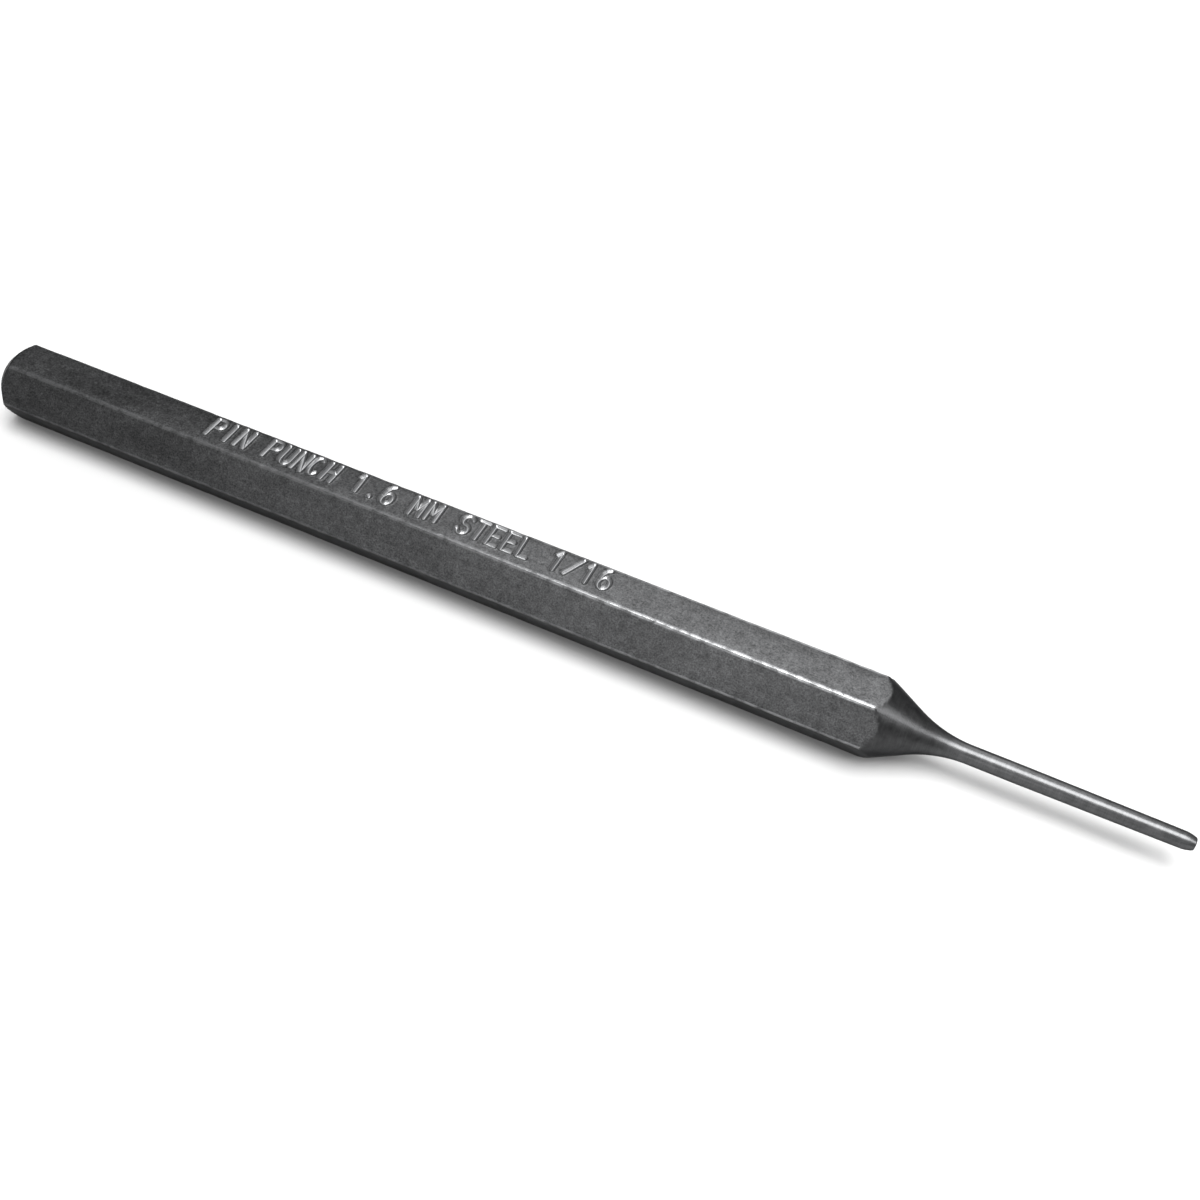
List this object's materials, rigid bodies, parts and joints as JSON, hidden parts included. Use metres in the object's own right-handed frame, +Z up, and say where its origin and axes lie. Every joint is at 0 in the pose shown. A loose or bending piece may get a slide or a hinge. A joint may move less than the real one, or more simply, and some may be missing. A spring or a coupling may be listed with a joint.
{
  "type": "pin punch",
  "caption": "Slim steel pin punch with a hexagonal shank, chamfered struck end, turned taper and a slim round pin for driving out small pins.",
  "frame": {"origin": "On the surface that the tool lies on, under the middle of its length and width.", "axes": "+X runs along the tool from the struck end to the tip; +Z is up, out of the marked flat of the shank; the tool lies on the opposite flat."},
  "size_m": [0.108, 0.0072, 0.0063],
  "materials": {
    "blackened_steel": "black oxide, satin, with the turned taper and pin worn brighter"
  },
  "bodies": {
    "root": {"pin_punch": "blackened_steel"}
  },
  "joints": []
}
